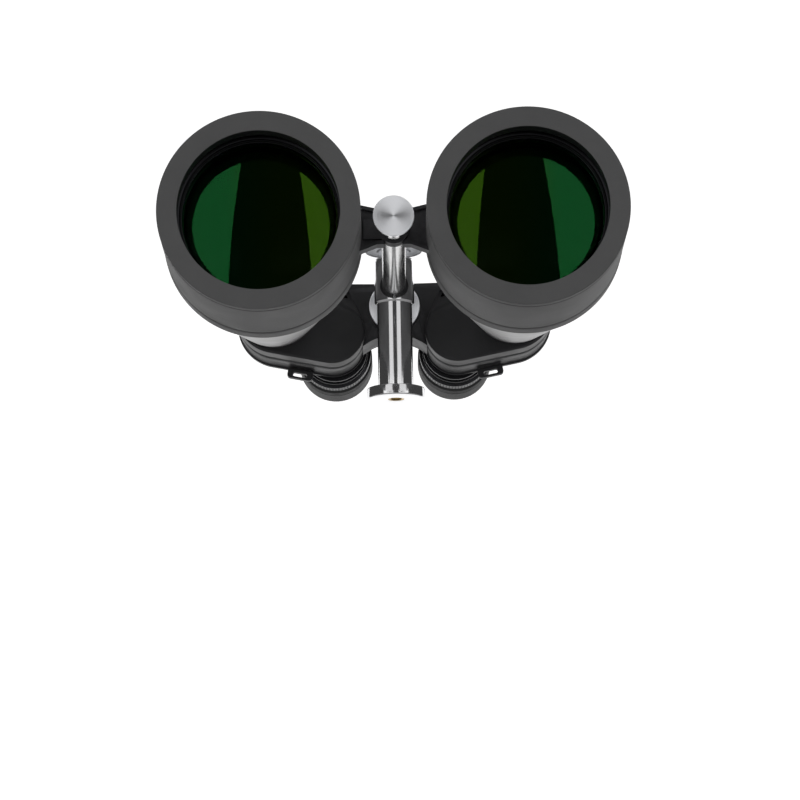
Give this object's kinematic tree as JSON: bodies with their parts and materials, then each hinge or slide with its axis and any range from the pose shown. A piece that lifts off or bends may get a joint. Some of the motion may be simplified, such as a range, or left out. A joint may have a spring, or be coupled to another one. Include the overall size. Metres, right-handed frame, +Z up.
{
  "type": "binoculars",
  "caption": "Giant porro-prism binoculars with deep rubber lens hoods, individual focus and a clamped sliding tripod post under the central rod.",
  "frame": {"origin": "centre of the tripod socket on the underside of the post's foot", "axes": "+Z up along the post, +Y from the objective lenses to the eyepieces, +X to the right of a viewer facing the lenses"},
  "size_m": [0.2454, 0.31, 0.1172],
  "materials": {
    "rubber": "matt moulded rubber",
    "grey_paint": "cast, with satin grey paint",
    "black_paint": "cast, with fine matt black paint",
    "black_aluminium": "matt black anodised",
    "coated_glass": "polished, green anti-reflection coating",
    "clear_glass": "polished",
    "steel": "ground and polished",
    "polished_aluminium": "polished",
    "turned_aluminium": "face turned, with fine rings",
    "brass": "machined",
    "black_nylon": "matt",
    "black_plastic": "satin"
  },
  "bodies": {
    "post": {"post_body": "polished_aluminium", "post_foot": "polished_aluminium", "tripod_insert": "brass"},
    "bush": {"rod_bush": "black_nylon"},
    "clamp_pad": {"clamp_pad": "black_nylon"},
    "clamp_knob": {"clamp_screw": "steel", "clamp_knob": "turned_aluminium"},
    "rod": {"central_rod": "steel", "front_cap": "turned_aluminium", "rear_disc": "turned_aluminium", "rear_cap": "black_plastic", "hinge_washers": "brass"},
    "left_half": {"left_lens_hood": "rubber", "left_objective_tube": "grey_paint", "left_lens_cell": "black_aluminium", "left_lens_retainer": "black_aluminium", "left_crown_lens": "coated_glass", "left_flint_lens": "clear_glass", "left_prism_housing": "black_paint", "left_front_prism": "clear_glass", "left_rear_prism": "clear_glass", "left_prism_shelf": "black_aluminium", "left_prism_clips": "steel", "left_strap_lug": "black_paint", "left_bridge_arm": "black_paint", "left_rear_cover": "black_paint", "left_cover_screws": "steel", "left_eyepiece_barrel": "black_aluminium"},
    "left_ocular": {"left_ocular_tube": "black_aluminium", "left_field_stop": "black_aluminium", "left_field_lens": "coated_glass", "left_eye_lens": "coated_glass"},
    "left_focus": {"left_focus_ring": "black_aluminium", "left_eyecup": "rubber"},
    "right_half": {"right_lens_hood": "rubber", "right_objective_tube": "grey_paint", "right_lens_cell": "black_aluminium", "right_lens_retainer": "black_aluminium", "right_crown_lens": "coated_glass", "right_flint_lens": "clear_glass", "right_prism_housing": "black_paint", "right_front_prism": "clear_glass", "right_rear_prism": "clear_glass", "right_prism_shelf": "black_aluminium", "right_prism_clips": "steel", "right_strap_lug": "black_paint", "right_bridge_arm": "black_paint", "right_rear_cover": "black_paint", "right_cover_screws": "steel", "right_eyepiece_barrel": "black_aluminium"},
    "right_ocular": {"right_ocular_tube": "black_aluminium", "right_field_stop": "black_aluminium", "right_field_lens": "coated_glass", "right_eye_lens": "coated_glass"},
    "right_focus": {"right_focus_ring": "black_aluminium", "right_eyecup": "rubber"}
  },
  "joints": [
    {"name": "rod_roll", "type": "hinge", "parent": "post", "child": "bush", "pos_m": [0, 0, 0.0642], "axis": [0, 1, 0], "range_deg": [-4, 4]},
    {"name": "rod_slide", "type": "slide", "parent": "bush", "child": "rod", "axis": [0, 1, 0], "range_m": [-0.032, 0.096]},
    {"name": "left_hinge", "type": "hinge", "parent": "rod", "child": "left_half", "pos_m": [0, 0, 0.0642], "axis": [0, 1, 0], "range_deg": [-11, 8]},
    {"name": "right_hinge", "type": "hinge", "parent": "rod", "child": "right_half", "pos_m": [0, 0, 0.0642], "axis": [0, 1, 0], "range_deg": [-8, 11]},
    {"name": "clamp_lift", "type": "slide", "parent": "post", "child": "clamp_pad", "axis": [0, 0, 1], "range_m": [0, 0.0013]},
    {"name": "clamp_turn", "type": "hinge", "parent": "clamp_pad", "child": "clamp_knob", "pos_m": [0, 0, 0.09], "axis": [0, 0, 1], "range_deg": [0, 360]},
    {"name": "left_focus_travel", "type": "slide", "parent": "left_half", "child": "left_ocular", "axis": [0, 1, 0], "range_m": [-0.003, 0.003]},
    {"name": "left_focus_turn", "type": "hinge", "parent": "left_ocular", "child": "left_focus", "pos_m": [-0.0356, 0.087, 0.0464], "axis": [0, 1, 0], "range_deg": [-120, 120]},
    {"name": "right_focus_travel", "type": "slide", "parent": "right_half", "child": "right_ocular", "axis": [0, 1, 0], "range_m": [-0.003, 0.003]},
    {"name": "right_focus_turn", "type": "hinge", "parent": "right_ocular", "child": "right_focus", "pos_m": [0.0356, 0.087, 0.0464], "axis": [0, 1, 0], "range_deg": [-120, 120]}
  ],
  "couplings": [
    {"joint": "right_hinge", "follows": "left_hinge", "ratio": -1},
    {"joint": "clamp_lift", "follows": "clamp_turn", "m_per_rad": 0.00019894},
    {"joint": "left_focus_turn", "follows": "left_focus_travel", "rad_per_m": 698.13},
    {"joint": "right_focus_turn", "follows": "right_focus_travel", "rad_per_m": 698.13}
  ]
}
